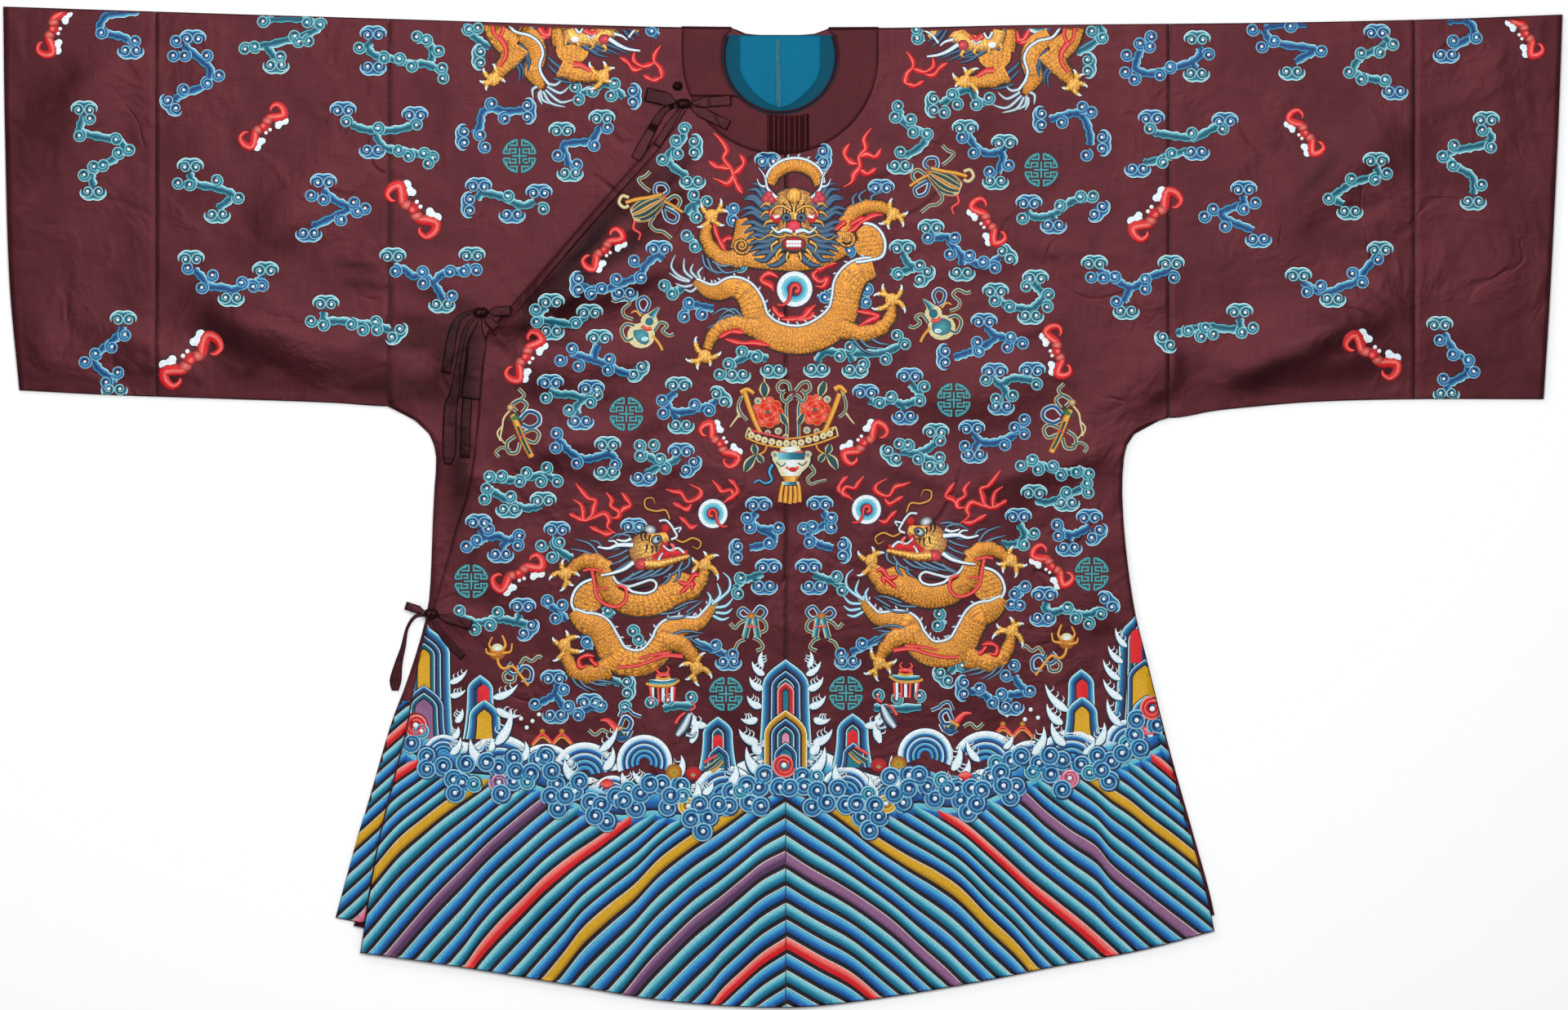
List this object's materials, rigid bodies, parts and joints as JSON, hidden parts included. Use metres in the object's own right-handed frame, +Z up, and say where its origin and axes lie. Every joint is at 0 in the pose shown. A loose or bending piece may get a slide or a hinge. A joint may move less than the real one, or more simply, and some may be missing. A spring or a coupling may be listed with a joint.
{
  "type": "dragon robe",
  "caption": "Wide-sleeved silk robe laid flat, with a round collar, a crossed front flap closed by tied ribbons, and embroidered dragons, clouds and waves.",
  "frame": {"origin": "middle of the width and length as laid out, at the underside that rests on the surface", "axes": "+X towards the wearer's left cuff, +Y towards the collar, +Z up off the surface"},
  "size_m": [1.7501, 1.124, 0.0169],
  "materials": {
    "brown_satin": "silk satin",
    "blue_silk": "plain silk lining",
    "pale_blue_silk": "plain silk lining"
  },
  "bodies": {
    "root": {"body_left": "brown_satin", "body_right": "brown_satin", "front_flap": "brown_satin", "flap_binding": "brown_satin", "sleeve_left": "brown_satin", "sleeve_right": "brown_satin", "cuff_left": "brown_satin", "cuff_right": "brown_satin", "collar_left": "brown_satin", "collar_right": "brown_satin", "collar_pleats": "brown_satin", "neck_piping": "brown_satin", "neck_ball": "brown_satin", "tie_neck_knot": "brown_satin", "tie_neck_loop_1": "brown_satin", "tie_neck_loop_2": "brown_satin", "tie_neck_loop_3": "brown_satin", "tie_neck_tail_1": "brown_satin", "tie_neck_tail_2": "brown_satin", "tie_armpit_knot": "brown_satin", "tie_armpit_loop_1": "brown_satin", "tie_armpit_loop_2": "brown_satin", "tie_armpit_loop_3": "brown_satin", "tie_armpit_tail_1": "brown_satin", "tie_armpit_tail_2": "brown_satin", "tie_armpit_tail_3": "brown_satin", "tie_waist_knot": "brown_satin", "tie_waist_loop_1": "brown_satin", "tie_waist_loop_2": "brown_satin", "tie_waist_tail_1": "brown_satin", "tie_waist_tail_2": "brown_satin", "neck_lining": "blue_silk", "neck_lining_panel": "pale_blue_silk"}
  },
  "joints": []
}
